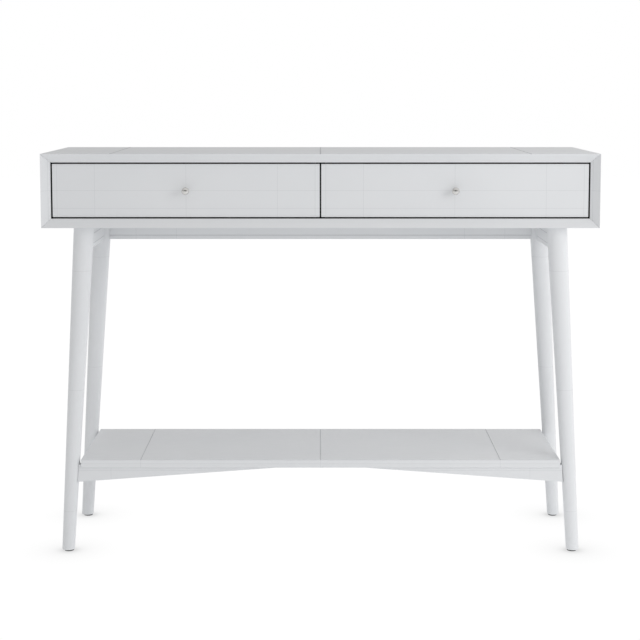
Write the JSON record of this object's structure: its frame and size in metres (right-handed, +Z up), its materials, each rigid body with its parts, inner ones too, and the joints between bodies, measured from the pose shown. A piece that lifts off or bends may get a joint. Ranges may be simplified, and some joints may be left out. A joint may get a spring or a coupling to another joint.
{
  "type": "console table",
  "caption": "Console table with drawers side by side in a bevelled mitred case, round splayed tapered legs and a low shelf on arched rails.",
  "frame": {"origin": "on the floor, under the middle of the table's bounding box", "axes": "+Z up, +X to the right of somebody facing the drawers, drawers open towards -Y"},
  "size_m": [1.219, 0.388, 0.895],
  "materials": {
    "painted_wood": "satin white paint over wood",
    "drawer_wood": "clear-lacquered birch",
    "bare_wood": "bare beech",
    "knob_nickel": "polished nickel",
    "slide_steel": "zinc-plated",
    "steel_fixing": "zinc-plated",
    "brass_insert": "machined",
    "glide_plastic": "moulded, dark grey",
    "cage_plastic": "moulded, natural"
  },
  "bodies": {
    "frame": {"case_top": "painted_wood", "case_bottom": "painted_wood", "case_left_side": "painted_wood", "case_right_side": "painted_wood", "case_back": "painted_wood", "case_divider": "painted_wood", "mitre_splines": "bare_wood", "back_screws": "steel_fixing", "front_left_leg": "painted_wood", "front_right_leg": "painted_wood", "back_left_leg": "painted_wood", "back_right_leg": "painted_wood", "foot_glides": "glide_plastic", "leg_bolts": "steel_fixing", "leg_inserts": "brass_insert", "rail_dowels": "bare_wood", "rail_screws": "steel_fixing", "left_side_rail": "painted_wood", "right_side_rail": "painted_wood", "back_rail": "painted_wood", "shelf": "painted_wood", "shelf_front_rail": "painted_wood", "shelf_back_rail": "painted_wood", "shelf_blocks": "painted_wood", "shelf_screws": "steel_fixing", "left_case_slides": "slide_steel", "right_case_slides": "slide_steel", "case_slide_screws": "steel_fixing"},
    "left_drawer": {"left_drawer_face": "painted_wood", "left_drawer_front_wall": "drawer_wood", "left_drawer_back_wall": "drawer_wood", "left_drawer_left_wall": "drawer_wood", "left_drawer_right_wall": "drawer_wood", "left_drawer_bottom": "drawer_wood", "left_box_dowels": "bare_wood", "left_face_screws": "steel_fixing", "left_knob": "knob_nickel", "left_knob_screw": "steel_fixing", "left_drawer_slides": "slide_steel", "left_drawer_slide_screws": "steel_fixing"},
    "right_drawer": {"right_drawer_face": "painted_wood", "right_drawer_front_wall": "drawer_wood", "right_drawer_back_wall": "drawer_wood", "right_drawer_left_wall": "drawer_wood", "right_drawer_right_wall": "drawer_wood", "right_drawer_bottom": "drawer_wood", "right_box_dowels": "bare_wood", "right_face_screws": "steel_fixing", "right_knob": "knob_nickel", "right_knob_screw": "steel_fixing", "right_drawer_slides": "slide_steel", "right_drawer_slide_screws": "steel_fixing"},
    "left_slide_middle": {"left_middle_slides": "slide_steel", "left_ball_cages": "cage_plastic"},
    "right_slide_middle": {"right_middle_slides": "slide_steel", "right_ball_cages": "cage_plastic"}
  },
  "joints": [
    {"name": "left_drawer_slide", "type": "slide", "parent": "frame", "child": "left_drawer", "axis": [0, -1, 0], "range_m": [0, 0.25]},
    {"name": "left_middle_slide", "type": "slide", "parent": "frame", "child": "left_slide_middle", "axis": [0, -1, 0], "range_m": [0, 0.125]},
    {"name": "right_drawer_slide", "type": "slide", "parent": "frame", "child": "right_drawer", "axis": [0, -1, 0], "range_m": [0, 0.25]},
    {"name": "right_middle_slide", "type": "slide", "parent": "frame", "child": "right_slide_middle", "axis": [0, -1, 0], "range_m": [0, 0.125]}
  ],
  "couplings": [
    {"joint": "left_middle_slide", "follows": "left_drawer_slide", "ratio": 0.5},
    {"joint": "right_middle_slide", "follows": "right_drawer_slide", "ratio": 0.5}
  ]
}
